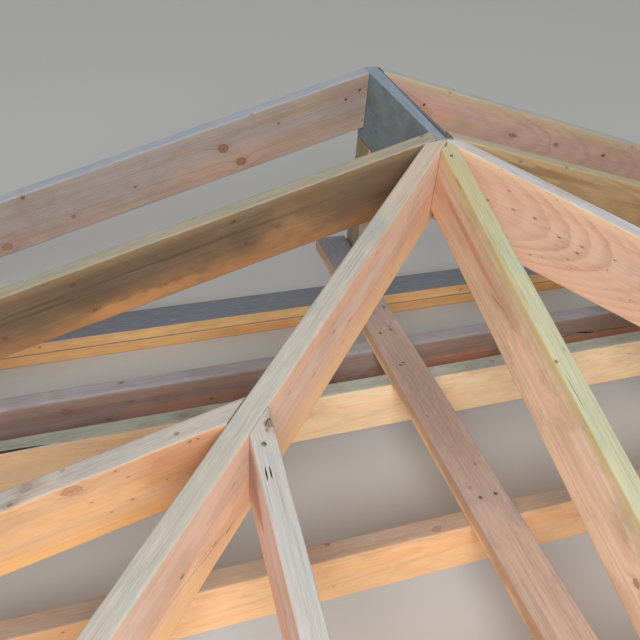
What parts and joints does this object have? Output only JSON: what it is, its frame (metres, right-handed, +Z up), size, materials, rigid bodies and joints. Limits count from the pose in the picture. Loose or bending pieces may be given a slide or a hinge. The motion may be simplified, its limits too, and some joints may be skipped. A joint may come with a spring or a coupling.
{
  "type": "hip roof frame",
  "caption": "Stick-framed hip roof end for a lean-to or porch against a wall: ridge, commons, hips, jacks, ceiling joists, ridge post and doubled wall plates.",
  "frame": {"origin": "middle of the footprint, on the underside of the wall plates", "axes": "+X along the back wall and the span, +Y towards the wall that the frame backs on to, +Z up"},
  "size_m": [3.658, 2.246, 0.7538],
  "materials": {
    "rafter_wood": "rough sawn softwood, pink-tan",
    "weathered_wood": "rough sawn softwood, weathered grey",
    "joist_wood": "rough sawn softwood, tan and brown",
    "plate_wood": "rough sawn softwood, orange-tan with a greyed top"
  },
  "bodies": {
    "root": {"ceiling_joist_1": "joist_wood", "ceiling_joist_2": "joist_wood", "ceiling_joist_3": "joist_wood", "ceiling_joist_4": "joist_wood", "common_rafter_left": "rafter_wood", "common_rafter_right": "rafter_wood", "end_jack_1_left": "rafter_wood", "end_jack_1_right": "rafter_wood", "end_jack_2_left": "rafter_wood", "end_jack_2_right": "rafter_wood", "end_jack_3_left": "rafter_wood", "end_jack_3_right": "rafter_wood", "hip_rafter_left": "rafter_wood", "hip_rafter_right": "rafter_wood", "joist_runner": "joist_wood", "king_rafter": "rafter_wood", "lower_plate_back": "plate_wood", "lower_plate_front": "plate_wood", "lower_plate_left": "plate_wood", "lower_plate_right": "plate_wood", "ridge_board": "weathered_wood", "ridge_post": "weathered_wood", "side_jack_1_left": "rafter_wood", "side_jack_1_right": "rafter_wood", "side_jack_2_left": "rafter_wood", "side_jack_2_right": "rafter_wood", "side_jack_3_left": "rafter_wood", "side_jack_3_right": "rafter_wood", "upper_plate_back": "plate_wood", "upper_plate_front": "plate_wood", "upper_plate_left": "plate_wood", "upper_plate_right": "plate_wood", "wall_rafter_left": "rafter_wood", "wall_rafter_right": "rafter_wood"}
  },
  "joints": []
}
